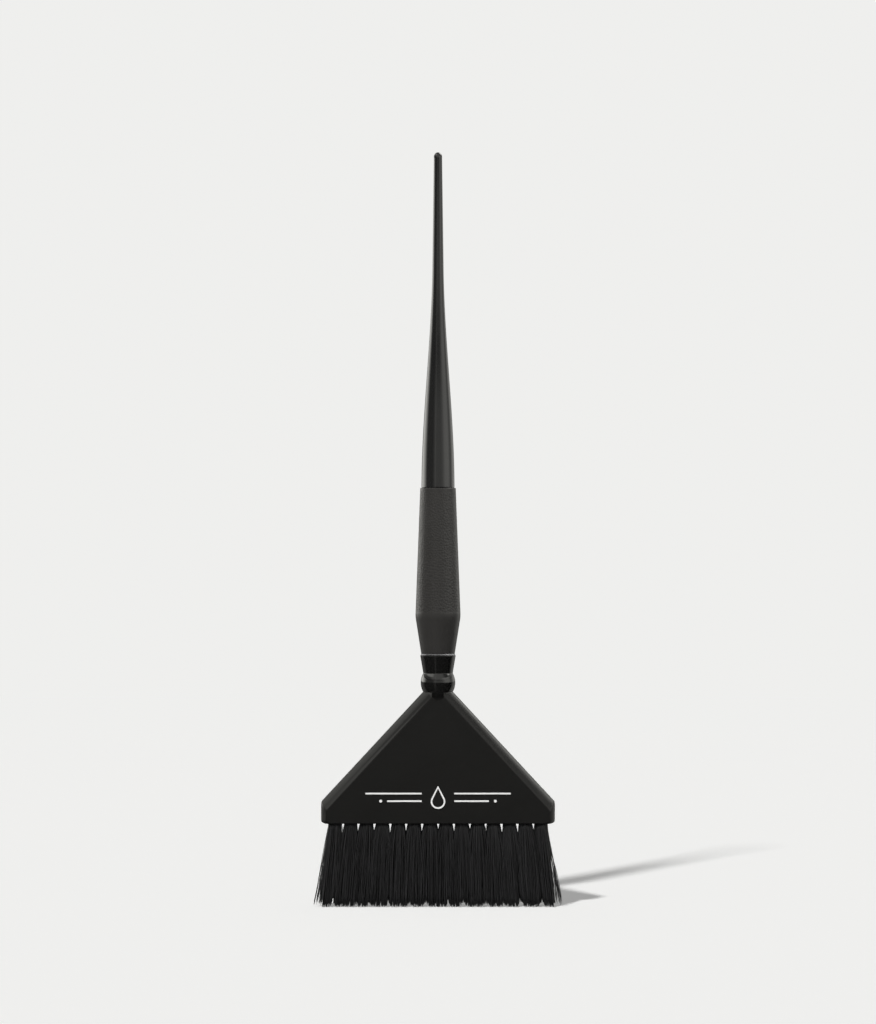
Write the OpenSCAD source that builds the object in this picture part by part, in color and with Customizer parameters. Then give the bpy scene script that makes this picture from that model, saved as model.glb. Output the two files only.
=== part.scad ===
// Wide hair-colour (tint) brush: a rat-tail handle with a rubber grip, a turned neck,
// a flat triangular head and two rows of stapled bristle tufts.
// Frame: +Z runs up the handle, X is across the head, Y is through its thickness.
// Origin: centre of the bristle tips, which is the plane the brush stands on.

/* [Overall] */
// Length from the bristle tips to the end of the tail
overall_l = 260; // [240:1:280]

/* [Tail] */
// Radius just behind the rounded end of the tail
tail_tip_r = 1.36; // [1:0.02:1.6]
// Radius of the tail where it meets the grip
tail_root_r = 5.68; // [5.3:0.02:5.9]

/* [Grip] */
// Height of the grip's upper end
grip_top_z = 144.2; // [140:0.2:150]
// Height of the grip's widest point
grip_belly_z = 99.9; // [97:0.1:106]
// Height of the grip's lower end
grip_bottom_z = 87; // [86.8:0.1:88]
// Radius of the grip at its upper end
grip_top_r = 6.14; // [6:0.02:6.4]
// Radius of the grip at its widest point, before its corner is rounded
grip_belly_r = 7.8; // [7.2:0.02:8.2]
// Radius of the grip at its lower end
grip_bottom_r = 5.78; // [5.6:0.02:6]
// Thickness of the rubber over the core
rubber_t = 1.5; // [1.2:0.1:1.8]

/* [Neck] */
// Height of the neck's seat on the head
neck_seat_z = 73.8; // [73:0.1:74.5]
// Height of the crease between the bead and the collar
neck_crease_z = 80.3; // [79.6:0.1:80.8]
// Height of the collar's rim
collar_top_z = 86.5; // [86:0.05:86.6]
// Radius of the collar's rim
collar_r = 6.12; // [5.8:0.02:6.3]
// Radius of the bead at its fullest
bead_r = 5.95; // [5.6:0.01:6.1]
// Radius of the creases above and below the bead
crease_r = 5.08; // [4.8:0.02:5.16]
// Radius of the accent ring between collar and grip
ring_r = 5.9; // [5.8:0.05:6]

/* [Head] */
// Width of the head
head_w = 80.6; // [78:0.2:84]
// Height of the head's bristle face
head_bottom_z = 28.8; // [28:0.1:30]
// Height at which the straight sides turn into the slopes
shoulder_z = 36; // [35:0.1:38]
// Half width of the head under the neck
apex_half_w = 5.2; // [5.15:0.05:5.6]
// Thickness of the head at the bristle face
head_t = 11.3; // [11.2:0.1:12.5]
// Thickness of the head under the neck
apex_t = 8; // [7.6:0.1:9]
// Width of the bevel along each slope, seen from the front
slope_bevel = 3.2; // [2.5:0.1:4]
// Width of the bevel along each straight side, seen from the front
side_bevel = 1.7; // [1.2:0.1:2.4]
// Thickness that the bevels leave at the head's outer edge
rim_t = 4.4; // [3.6:0.1:5]

/* [Bristles] */
// Tufts in each row
tufts_per_row = 14; // [12:1:14]
// Distance between neighbouring tufts at the head
tuft_pitch = 5.47; // [5.47:0.01:5.6]
// Distance between neighbouring tufts at the tips
tip_pitch = 5.86; // [5.86:0.01:6]
// Distance between the two rows at the head
row_pitch = 4.9; // [4.8:0.1:5]
// Distance between the two rows at the tips
tip_row_pitch = 5.9; // [5.9:0.1:6.3]
// Diameter of each tuft hole
hole_d = 4; // [3.8:0.1:4.1]
// Depth of each tuft hole
hole_depth = 7; // [6.5:0.1:7.5]

/* [Printed mark] */
// Half of the printed mark's overall width
mark_half_w = 25; // [20:0.5:26]
// Height of the middle of the printed mark
mark_z = 37.8; // [37:0.1:39]
// Width of the printed lines
mark_stroke = 0.55; // [0.5:0.05:1]

/* [Hidden] */
$fn = 64;
eps = 0.01;

// Core inside the grip: it stays one rubber thickness below the grip's skin, and a little
// more at the belly.
belly_inset = 0.3;
core_top_r = grip_top_r - rubber_t;
core_belly_r = grip_belly_r - rubber_t - belly_inset;
core_bottom_r = grip_bottom_r - rubber_t;
// Grooves that key the moulded rubber onto the core
key_groove_w = 2.4;
key_groove_d = 0.7;
key_groove_zs = [98, 113, 128];

// Spigot below the core: it passes the ring and is bonded into the collar.
spigot_r = 3.2;
spigot_end_z = 76;
spigot_lead = 0.6;
bond_gap = 0.05;
// Room left below the ends of spigot and tenon for the adhesive
glue_room = 0.3;
// Tenon below the neck: it is bonded into the head.
tenon_r = 2.6;
tenon_end_z = 63;

// Tail outline: a long slender stretch that swells towards the grip
tail_l = overall_l - grip_top_z;
tail_taper = 1.55;
tail_swell = tail_root_r - tail_tip_r - tail_taper;
swell_start = 0.35;
swell_span = 0.62;
tail_steps = 24;

// Half lengths of the arcs that round the grip's belly and its upper edge
belly_soft = 1.2;
lip_soft = 0.3;

// Each bevel runs from the outline at the rim to a smaller outline on the face.
outline_r = 1.2;
face_tilt = atan((head_t - apex_t) / 2 / (neck_seat_z - head_bottom_z));
// The round foot under the neck dies into both faces of the head.
foot_end_z = 69.5;
foot_end_r = 3.7;

// Tufts: the root is folded over a flat wire, and the tips spread.
root_clear = 0.05;
root_top_gap = 0.1;
root_r = hole_d / 2 - root_clear;
face_r = 2.12;
tip_gap = 0.14;
tip_w = tip_pitch - tip_gap;
tip_d = tip_row_pitch - tip_gap;
tip_corner_r = 1.6;
tip_land = 0.2;
hull_fn = 32;
// Flat wire that anchors each tuft: its ends bite into the wall of the hole.
wire_bite = 0.2;
wire_l = hole_d + 2 * wire_bite;
wire_h = 1.6;
wire_t = 0.35;
wire_z = head_bottom_z + hole_depth - wire_h - 0.6;
wire_clear = 0.06;

mark_t = 0.1;
drop_r = 2.5;
drop_h = 7.9;
line_gap = 2.6;
line_start = 5.6;
short_line = 0.7;
dot_r = 0.5;
dot_gap = 2.2;

TUFTS = [for (i = [0 : tufts_per_row - 1]) i];
ROWS = [[-1, "front"], [1, "back"]];
function two_digits(n) = n < 10 ? str("0", n) : str(n);
function tuft_name(row, i) = str("tuft_", row[1], "_", two_digits(i + 1));

// Position of tuft i along its row, measured from the middle in whole tufts
function place(i) = i - (tufts_per_row - 1) / 2;

// Eased step from 0 to 1
function ease(t) = let (c = min(max(t, 0), 1)) c * c * (3 - 2 * c);

// Tail radius at the fraction u of the way from the end to the grip
function tail_r(u) =
    tail_tip_r + tail_taper * u + tail_swell * ease((u - swell_start) / swell_span);

// Points [r, z] of the tail's outline, from the grip to the rounded end
function tail_outline() = concat(
    [for (k = [0 : tail_steps]) let (u = 1 - k / tail_steps * (1 - tail_tip_r / tail_l))
        [tail_r(u), overall_l - u * tail_l]],
    [for (a = [15 : 15 : 75])
        [tail_tip_r * cos(a), overall_l - tail_tip_r * (1 - sin(a))]],
    [[0, overall_l]]);

// Points [r, z] along an arc that rounds the corner b of the path a-b-c by tangent length t
function rounded_corner(a, b, c, t, steps = 6) =
    let (p = b + t * (a - b) / norm(a - b), q = b + t * (c - b) / norm(c - b))
    [for (k = [0 : steps]) let (s = k / steps)
        (1 - s) * (1 - s) * p + 2 * s * (1 - s) * b + s * s * q];

// Core outline under the rubber, from the grip's lower end up to the tail
function core_outline() = [
    [core_bottom_r, grip_bottom_z],
    each [for (z = key_groove_zs) each [
        [core_r(z - key_groove_w / 2), z - key_groove_w / 2],
        [core_r(z) - key_groove_d, z - key_groove_w / 2],
        [core_r(z) - key_groove_d, z + key_groove_w / 2],
        [core_r(z + key_groove_w / 2), z + key_groove_w / 2]]],
    [core_top_r, grip_top_z]];

function core_r(z) = z < grip_belly_z
    ? lookup(z, [[grip_bottom_z, core_bottom_r], [grip_belly_z, core_belly_r]])
    : lookup(z, [[grip_belly_z, core_belly_r], [grip_top_z, core_top_r]]);

module tail_handle() {
    color("#1c1c1d") rotate_extrude() polygon(concat(
        [[0, spigot_end_z], [spigot_r - spigot_lead, spigot_end_z],
         [spigot_r, spigot_end_z + spigot_lead],
         [spigot_r, grip_bottom_z]],
        core_outline(),
        tail_outline()));
}

module grip_sleeve() {
    belly = rounded_corner([grip_bottom_r, grip_bottom_z], [grip_belly_r, grip_belly_z],
        [grip_top_r, grip_top_z], belly_soft);
    lip = rounded_corner([grip_belly_r, grip_belly_z], [grip_top_r, grip_top_z],
        [core_top_r, grip_top_z], lip_soft, 3);
    outer = concat([[grip_bottom_r, grip_bottom_z]], belly, lip);
    inner = core_outline();
    color("#2f2f2e") rotate_extrude() polygon(concat(
        outer, [for (k = [len(inner) - 1 : -1 : 0]) inner[k]]));
}

module accent_ring() {
    color("#c3c4c4") rotate_extrude() polygon([
        [spigot_r + bond_gap, collar_top_z], [ring_r, collar_top_z],
        [ring_r, grip_bottom_z], [spigot_r + bond_gap, grip_bottom_z]]);
}

module neck_collar() {
    lip_r = 0.2;
    // The bead's outline is one arc through both creases and its fullest point.
    half = (neck_crease_z - neck_seat_z) / 2;
    rise = bead_r - crease_r;
    arc_r = (half * half + rise * rise) / (2 * rise);
    half_angle = asin(half / arc_r);
    bead = [for (k = [0 : 12]) let (a = -half_angle + k / 12 * 2 * half_angle)
        [bead_r - arc_r + arc_r * cos(a), neck_seat_z + half + arc_r * sin(a)]];
    color("#101011") difference() {
        union() {
            rotate_extrude() polygon(concat(
                [[0, neck_seat_z]], bead,
                [[collar_r, collar_top_z - lip_r], [collar_r - lip_r, collar_top_z],
                 [0, collar_top_z]]));
            translate([0, 0, tenon_end_z]) cylinder(r = tenon_r, h = neck_seat_z - tenon_end_z + eps);
        }
        translate([0, 0, spigot_end_z - glue_room])
            cylinder(r = spigot_r + bond_gap, h = collar_top_z - spigot_end_z + 1);
    }
}

// Front view of the head at the rim
module rim_outline() {
    offset(outline_r) offset(delta = -outline_r) polygon([
        [-head_w / 2, head_bottom_z], [head_w / 2, head_bottom_z],
        [head_w / 2, shoulder_z], [apex_half_w, neck_seat_z],
        [-apex_half_w, neck_seat_z], [-head_w / 2, shoulder_z]]);
}

// Front view of the head's flat face inside the bevels
module face_outline() {
    slope = atan((neck_seat_z - shoulder_z) / (head_w / 2 - apex_half_w));
    half_w = head_w / 2 - side_bevel;
    // Where the inset slope crosses the inset side and the neck's seat
    drop = slope_bevel / cos(slope) - side_bevel * tan(slope);
    seat_half_w = apex_half_w - slope_bevel / sin(slope);
    top_z = seat_half_w > 0 ? neck_seat_z : neck_seat_z + seat_half_w * tan(slope);
    polygon([
        [-half_w, head_bottom_z], [half_w, head_bottom_z],
        [half_w, shoulder_z - drop],
        [max(seat_half_w, 0.3), top_z],
        [-max(seat_half_w, 0.3), top_z],
        [-half_w, shoulder_z - drop]]);
}

// Turns a front view into a slab t thick, centred on Y
module slab(t) {
    rotate([90, 0, 0]) linear_extrude(t, center = true) children();
}

// Space between the head's two tapering faces
module taper() {
    rotate([90, 0, 90]) linear_extrude(head_w + 2, center = true) polygon([
        [-head_t / 2, head_bottom_z], [head_t / 2, head_bottom_z],
        [apex_t / 2, neck_seat_z], [-apex_t / 2, neck_seat_z]]);
}

module head_plate() {
    color("#19191a") difference() {
        union() {
            hull() {
                slab(rim_t) rim_outline();
                intersection() {
                    slab(head_t) face_outline();
                    taper();
                }
            }
            translate([0, 0, foot_end_z])
                cylinder(r1 = foot_end_r, r2 = crease_r, h = neck_seat_z - foot_end_z);
        }
        translate([0, 0, tenon_end_z - glue_room])
            cylinder(r = tenon_r + bond_gap, h = neck_seat_z - tenon_end_z + 1);
        each_tuft() translate([0, 0, head_bottom_z - 1]) cylinder(d = hole_d, h = hole_depth + 1);
    }
}

// Places its children at every tuft hole
module each_tuft() {
    for (row = ROWS, i = TUFTS)
        translate([place(i) * tuft_pitch, row[0] * row_pitch / 2, 0]) children();
}

// Generic ornament: an outlined drop between two pairs of thin lines, without any lettering
module mark() {
    difference() {
        drop(0);
        drop(mark_stroke);
    }
    for (side = [-1, 1]) {
        bar(side, line_start, mark_half_w, line_gap / 2);
        bar(side, line_start, mark_half_w * short_line, -line_gap / 2);
        translate([side * (mark_half_w * short_line + dot_gap), -line_gap / 2]) circle(dot_r);
    }
}

// Drop outline pointing up, reduced all round by the given inset
module drop(inset) {
    r = drop_r - inset;
    tip_y = drop_h - drop_r - inset * drop_h / (2 * drop_r);
    // The sides are the two tangents from the tip to the round belly.
    a = asin(r / tip_y);
    translate([0, drop_r - drop_h / 2]) union() {
        circle(r);
        polygon([[0, tip_y], [-r * cos(a), r * sin(a)], [r * cos(a), r * sin(a)]]);
    }
}

module bar(side, from, to, y) {
    translate([side * (from + to) / 2, y]) square([to - from, mark_stroke], center = true);
}

module printed_mark() {
    // The film lies on the front face, which leans back by face_tilt.
    lean_y = (mark_z - head_bottom_z) * tan(face_tilt);
    color("#e6e6e4") translate([0, lean_y - head_t / 2, mark_z])
        rotate([90 - face_tilt, 0, 0]) linear_extrude(mark_t) mark();
}

module anchor_staples() {
    color("#b9b9b5") each_tuft() translate([-wire_l / 2, -wire_t / 2, wire_z])
        cube([wire_l, wire_t, wire_h]);
}

module tuft(row, i) {
    x = place(i) * tuft_pitch;
    y = row[0] * row_pitch / 2;
    color("#1a1a1c") difference() {
        union() {
            // Folded root inside the hole
            translate([x, y, head_bottom_z - root_top_gap])
                cylinder(r = root_r, h = hole_depth);
            // Free part, spreading from the hole to the tips
            hull() {
                translate([x, y, head_bottom_z - root_top_gap - eps])
                    cylinder(r = face_r, h = eps, $fn = hull_fn);
                translate([place(i) * tip_pitch, row[0] * tip_row_pitch / 2, 0])
                    tip_pad();
            }
        }
        // Slot taken up by the anchoring wire
        translate([x - hole_d, y - wire_t / 2 - wire_clear, wire_z - wire_clear])
            cube([2 * hole_d, wire_t + 2 * wire_clear, wire_h + 2 * wire_clear]);
    }
}

// Flat end of one tuft
module tip_pad() {
    linear_extrude(tip_land) hull() for (sx = [-1, 1], sy = [-1, 1])
        translate([sx * (tip_w / 2 - tip_corner_r), sy * (tip_d / 2 - tip_corner_r)])
            circle(tip_corner_r, $fn = hull_fn);
}

tail_handle();
grip_sleeve();
accent_ring();
neck_collar();
head_plate();
printed_mark();
anchor_staples();
for (row = ROWS) for (i = TUFTS)
    tuft(row, i);
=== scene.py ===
"""Looks of the tint brush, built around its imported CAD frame.

Shapes are worked out in millimetres in the CAD's own frame (+Z up the handle, X across the head,
-Y out of the front face, origin at the middle of the bristle tips) and turned into metres when
they become meshes.
"""

import math

import bmesh
import bpy
import numpy as np
from mathutils import Matrix, Vector


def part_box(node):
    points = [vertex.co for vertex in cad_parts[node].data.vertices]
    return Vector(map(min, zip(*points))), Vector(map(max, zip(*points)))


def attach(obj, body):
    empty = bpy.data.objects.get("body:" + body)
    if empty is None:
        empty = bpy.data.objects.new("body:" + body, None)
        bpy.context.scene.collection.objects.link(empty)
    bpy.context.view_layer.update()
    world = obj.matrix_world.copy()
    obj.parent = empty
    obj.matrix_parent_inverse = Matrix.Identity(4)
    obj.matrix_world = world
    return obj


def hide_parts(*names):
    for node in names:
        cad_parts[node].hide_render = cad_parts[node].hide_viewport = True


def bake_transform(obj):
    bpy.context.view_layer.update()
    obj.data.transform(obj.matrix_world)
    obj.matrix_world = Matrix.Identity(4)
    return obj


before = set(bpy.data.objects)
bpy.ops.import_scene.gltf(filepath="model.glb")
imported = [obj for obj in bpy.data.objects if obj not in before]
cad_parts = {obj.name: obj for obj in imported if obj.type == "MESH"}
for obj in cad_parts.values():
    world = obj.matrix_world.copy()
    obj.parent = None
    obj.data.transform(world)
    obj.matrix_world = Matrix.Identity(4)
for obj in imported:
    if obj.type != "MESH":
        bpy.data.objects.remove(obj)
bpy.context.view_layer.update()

MM = 0.001


def box_mm(node):
    """Lowest and highest corner of a CAD node, in millimetres."""
    low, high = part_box(node)
    return np.array(low) / MM, np.array(high) / MM


# ---- Sizes that several pieces share --------------------------------------------------------

tail_low, tail_high = box_mm("tail_handle")
grip_low, grip_high = box_mm("grip_sleeve")
ring_low, ring_high = box_mm("accent_ring")
neck_low, neck_high = box_mm("neck_collar")
head_low, head_high = box_mm("head_plate")

OVERALL_L = tail_high[2]
SPIGOT_END_Z = tail_low[2]
GRIP_TOP_Z = grip_high[2]
GRIP_BOTTOM_Z = grip_low[2]
COLLAR_TOP_Z = neck_high[2]
COLLAR_R = neck_high[0]
RING_R = ring_high[0]
TENON_END_Z = neck_low[2]
HEAD_BOTTOM_Z = head_low[2]
NECK_SEAT_Z = head_high[2]
HEAD_HALF_W = head_high[0]
HEAD_HALF_T = head_high[1]

# The rest is what the boxes don't show: it repeats the CAD's own values
GRIP_TOP_R, GRIP_BELLY_R, GRIP_BOTTOM_R = 6.14, 7.8, 5.78
GRIP_BELLY_Z = 99.9
RUBBER_T = 1.5
SPIGOT_R, TENON_R = 3.2, 2.6
BOND_GAP = 0.05
END_GAP = 0.3
TAIL_ROOT_R = 5.68


# ---- Mesh helpers ---------------------------------------------------------------------------

def add_object(name, mesh, material, sharp_deg=40):
    """Links a finished mesh as a piece, smooth but for its sharp edges."""
    mesh.shade_smooth()
    mesh.set_sharp_from_angle(angle=math.radians(sharp_deg))
    mesh.materials.append(material)
    piece = bpy.data.objects.new(name, mesh)
    bpy.context.scene.collection.objects.link(piece)
    return piece


def mesh_from(name, points, faces):
    """A mesh in metres from points in millimetres, with its normals turned outwards."""
    mesh = bpy.data.meshes.new(name)
    mesh.from_pydata((np.asarray(points, float) * MM).tolist(), [], faces)
    work = bmesh.new()
    work.from_mesh(mesh)
    bmesh.ops.recalc_face_normals(work, faces=work.faces)
    work.to_mesh(mesh)
    work.free()
    return mesh


def curve(start, corner, end, steps):
    """Points of a smooth bend from start to end, drawn towards the corner between them."""
    return [(1 - s) ** 2 * start + 2 * s * (1 - s) * corner + s * s * end
            for s in np.linspace(0, 1, steps + 1)]


def round_corner(before, corner, after, radius, side_share, steps):
    """Rounds the corner between two points; it takes at most that share of either side."""
    a, b = before - corner, after - corner
    la, lb = np.linalg.norm(a), np.linalg.norm(b)
    half = math.acos(np.clip(a @ b / (la * lb), -1, 1)) / 2
    reach = min(radius / math.tan(half), side_share * la, side_share * lb)
    return curve(corner + a / la * reach, corner, corner + b / lb * reach, steps)


# A fillet takes at most this share of either side of its corner
FILLET_SHARE = 0.49


def fillet(points, steps=5):
    """Rounds the corners of an outline of (r, z, radius) points; a radius of 0 stays sharp."""
    corners = [np.array(p[:2], float) for p in points]
    rounded = []
    for i, (_, _, radius) in enumerate(points):
        if radius == 0 or i in (0, len(points) - 1):
            rounded.append(corners[i])
        else:
            rounded += round_corner(*corners[i - 1:i + 2], radius, FILLET_SHARE, steps)
    return [tuple(p) for p in rounded]


def lathe(name, outline, segments, closed=False, relief=None):
    """Turns an outline of (r, z) points about Z. relief(angle, r, z) gives what to add to r.
    An open outline starts and ends on the axis; a closed one never touches it."""
    rings = [p for p in outline if closed or p[0] > 0]
    angle = np.arange(segments) * 2 * math.pi / segments
    points = []
    for r, z in rings:
        radius = r + (relief(angle, r, z) if relief else 0) + 0 * angle
        points += zip(radius * np.cos(angle), radius * np.sin(angle), 0 * angle + z)
    faces = []
    last = len(rings) if closed else len(rings) - 1
    for k in range(last):
        low, high = k * segments, (k + 1) % len(rings) * segments
        for i in range(segments):
            j = (i + 1) % segments
            faces.append((low + i, low + j, high + j, high + i))
    if not closed:
        for ring, z in ((0, outline[0][1]), (len(rings) - 1, outline[-1][1])):
            points.append((0, 0, z))
            pole = len(points) - 1
            first = ring * segments
            faces += [(first + i, first + (i + 1) % segments, pole) for i in range(segments)]
    return mesh_from(name, points, faces)


def ease(t):
    """Eased step from 0 to 1."""
    t = np.clip(t, 0, 1)
    return t * t * (3 - 2 * t)


# ---- Materials ------------------------------------------------------------------------------

def plug(tree, node, inputs):
    """Links a node's inputs to sockets, or sets them to values."""
    for key, value in inputs.items():
        if isinstance(value, bpy.types.NodeSocket):
            tree.links.new(value, node.inputs[key])
        else:
            node.inputs[key].default_value = value


def node_adder(tree):
    """A function that adds a node to the tree, with its inputs and its settings."""
    def add(kind, inputs=(), **settings):
        made = tree.nodes.new(kind)
        for key, value in settings.items():
            setattr(made, key, value)
        plug(tree, made, dict(inputs))
        return made

    return add


def surface(name):
    """A new material, a way to add nodes to it and a way to feed its Principled shader."""
    material = bpy.data.materials.new(name)
    material.use_nodes = True
    tree = material.node_tree
    shader = tree.nodes["Principled BSDF"]
    return material, node_adder(tree), lambda inputs: plug(tree, shader, inputs)


def bare_material(name):
    """A new material with an empty node tree, and a way to add nodes to it."""
    material = bpy.data.materials.new(name)
    material.use_nodes = True
    material.node_tree.nodes.clear()
    return material, node_adder(material.node_tree)


def grain(add, scale, detail=2.0, roughness=0.5, stretch=(1, 1, 1)):
    """Noise over the surface; scale is in features per metre."""
    spot = add("ShaderNodeTexCoord").outputs["Object"]
    if stretch != (1, 1, 1):
        spot = add("ShaderNodeMapping", {"Vector": spot, "Scale": stretch}).outputs["Vector"]
    made = add("ShaderNodeTexNoise",
               {"Vector": spot, "Scale": scale, "Detail": detail, "Roughness": roughness})
    return made.outputs["Fac"]


# Noise seldom leaves this range
NOISE_LOW, NOISE_HIGH = 0.25, 0.75


def spread(add, value, low, high):
    """Maps noise onto low to high."""
    made = add("ShaderNodeMapRange", {"Value": value, "From Min": NOISE_LOW,
                                      "From Max": NOISE_HIGH, "To Min": low, "To Max": high})
    return made.outputs["Result"]


def times(factor, values):
    """A colour or a pair of limits, times a factor."""
    return [factor * v for v in values]


def mix(add, share, dark, light):
    """Colour between dark and light, by a 0 to 1 share."""
    made = add("ShaderNodeMix", {"Factor": share, "A": (*dark, 1), "B": (*light, 1)},
               data_type="RGBA")
    return made.outputs["Result"]


def bump(add, height, strength, depth_mm):
    """Normal of a fine relief."""
    made = add("ShaderNodeBump",
               {"Height": height, "Strength": strength, "Distance": depth_mm * MM})
    return made.outputs["Normal"]


# Features per metre of the slow drift in gloss and tone, the brushed lines, the ink film and
# the filaments' drawing lines
DRIFT_SCALE, BRUSHED_SCALE, FILM_SCALE, DRAWN_SCALE = 60, 900, 2500, 9000
# What the drift does to roughness and tone, as factors, and what the grain adds to roughness
DRIFT_ROUGH, DRIFT_TONE, GRAIN_ROUGH = (0.9, 1.1), (0.85, 1.15), (-0.04, 0.04)
BRUSHED_ROUGH, BRUSHED_DARK = (0.8, 1.2), 0.8
FILM_ROUGH, FILM_DARK = (0.45, 0.65), 0.8
FILAMENT_ROUGH, DRAWN_STRETCH = (0.8, 1.25), (1, 1, 0.05)


def moulded(name, colour, rough, grain_mm, depth_mm, specular=0.5):
    """Moulded plastic or rubber: a fine surface grain, and gloss and tone that drift slowly."""
    material, add, feed = surface(name)
    drift = grain(add, DRIFT_SCALE, detail=3)
    fine = grain(add, 1 / (grain_mm * MM), detail=3, roughness=0.6)
    level = spread(add, drift, *times(rough, DRIFT_ROUGH))
    both = add("ShaderNodeMath", {0: level, 1: spread(add, fine, *GRAIN_ROUGH)}, operation="ADD")
    feed({"Base Color": mix(add, drift, *(times(tone, colour) for tone in DRIFT_TONE)),
          "Roughness": both.outputs["Value"],
          "Normal": bump(add, fine, strength=1.0, depth_mm=depth_mm),
          "Specular IOR Level": specular})
    return material


def brushed_metal(name, colour, rough, stretch):
    """Metal with fine lines along one direction."""
    material, add, feed = surface(name)
    lines = grain(add, BRUSHED_SCALE, detail=4, stretch=stretch)
    feed({"Base Color": mix(add, lines, times(BRUSHED_DARK, colour), colour),
          "Roughness": spread(add, lines, *times(rough, BRUSHED_ROUGH)),
          "Normal": bump(add, lines, strength=0.5, depth_mm=0.01),
          "Metallic": 1.0})
    return material


def ink(name, colour):
    """Pad-printed ink: nearly even, with faint thin spots and a fine film texture."""
    material, add, feed = surface(name)
    film = grain(add, FILM_SCALE, detail=4, roughness=0.7)
    feed({"Base Color": mix(add, spread(add, film, 0, 1), times(FILM_DARK, colour), colour),
          "Roughness": spread(add, film, *FILM_ROUGH),
          "Normal": bump(add, film, strength=0.6, depth_mm=0.01)})
    return material


def filament(name, dark, light, rough):
    """Black nylon filament: each one has its own tone and gloss, with faint drawing lines."""
    material, add, feed = surface(name)
    own = add("ShaderNodeNewGeometry").outputs["Random Per Island"]
    lines = grain(add, DRAWN_SCALE, detail=2, stretch=DRAWN_STRETCH)
    feed({"Base Color": mix(add, own, dark, light),
          "Roughness": spread(add, own, *times(rough, FILAMENT_ROUGH)),
          "Normal": bump(add, lines, strength=0.4, depth_mm=0.01),
          "Specular IOR Level": 0.3})
    return material


# Name, colour, roughness, size of the grain and its depth (mm)
tail_gloss = moulded("tail_gloss", (0.007, 0.007, 0.007), 0.12, 0.9, 0.002)
neck_gloss = moulded("neck_gloss", (0.0068, 0.0067, 0.0064), 0.09, 1.2, 0.002)
head_satin = moulded("head_satin", (0.0045, 0.0044, 0.0041), 0.36, 0.16, 0.005, specular=0.3)
grip_rubber = moulded("grip_rubber", (0.0255, 0.0243, 0.0230), 0.36, 0.14, 0.004, specular=0.34)
# Name, colour, roughness and how much closer the lines lie in x, y and z
accent_metal = brushed_metal("accent_metal", (0.35, 0.35, 0.37), 0.34, (1, 1, 12))
staple_wire = brushed_metal("staple_wire", (0.60, 0.59, 0.56), 0.32, (0.1, 1, 1))
print_ink = ink("print_ink", (0.80, 0.80, 0.79))
bristle_nylon = filament("bristle_nylon", (0.015, 0.015, 0.0155), (0.027, 0.027, 0.028), 0.4)


# ---- Tail and core --------------------------------------------------------------------------

TAIL_TIP_R = 1.36
TAIL_TAPER = 1.55
SWELL_START, SWELL_SPAN = 0.35, 0.62
TAIL_STEPS, TAIL_SEGMENTS = 150, 144
TIP_STEP_DEG = 8
STEP_L, STEP_FILLET = 0.5, 0.12
LEAD_IN_R, LEAD_IN_L = 0.4, 0.6
# Ridge where the mould halves met: its height, how far from the tail's end it stops, and its
# half width as the sine of an angle
SEAM_H, SEAM_STOP, SEAM_SINE = 0.035, 1, 0.01
KEY_GROOVE_W, KEY_GROOVE_D, KEY_FILLET = 2.4, 0.7, 0.1
KEY_GROOVE_ZS = (98, 113, 128)
BELLY_EXTRA_T = 0.3
CORE_TOP_R = GRIP_TOP_R - RUBBER_T
CORE_BELLY_R = GRIP_BELLY_R - RUBBER_T - BELLY_EXTRA_T
CORE_BOTTOM_R = GRIP_BOTTOM_R - RUBBER_T


def tail_r(u):
    """Tail radius at the fraction u of the way from its end to the grip."""
    swell = TAIL_ROOT_R - TAIL_TIP_R - TAIL_TAPER
    return TAIL_TIP_R + TAIL_TAPER * u + swell * ease((u - SWELL_START) / SWELL_SPAN)


def core_r(z):
    """Radius of the core under the rubber."""
    return np.interp(z, [GRIP_BOTTOM_Z, GRIP_BELLY_Z, GRIP_TOP_Z],
                     [CORE_BOTTOM_R, CORE_BELLY_R, CORE_TOP_R])


def core_outline():
    """(r, z, fillet) points of the keyed core, from its lower end to the tail."""
    points = [(CORE_BOTTOM_R, GRIP_BOTTOM_Z, 0)]
    for z in KEY_GROOVE_ZS:
        low, high = z - KEY_GROOVE_W / 2, z + KEY_GROOVE_W / 2
        floor_r = core_r(z) - KEY_GROOVE_D
        points += [(core_r(low), low, KEY_FILLET), (floor_r, low, KEY_FILLET),
                   (floor_r, high, KEY_FILLET), (core_r(high), high, KEY_FILLET)]
    return points + [(CORE_TOP_R, GRIP_TOP_Z, 0)]


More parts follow.
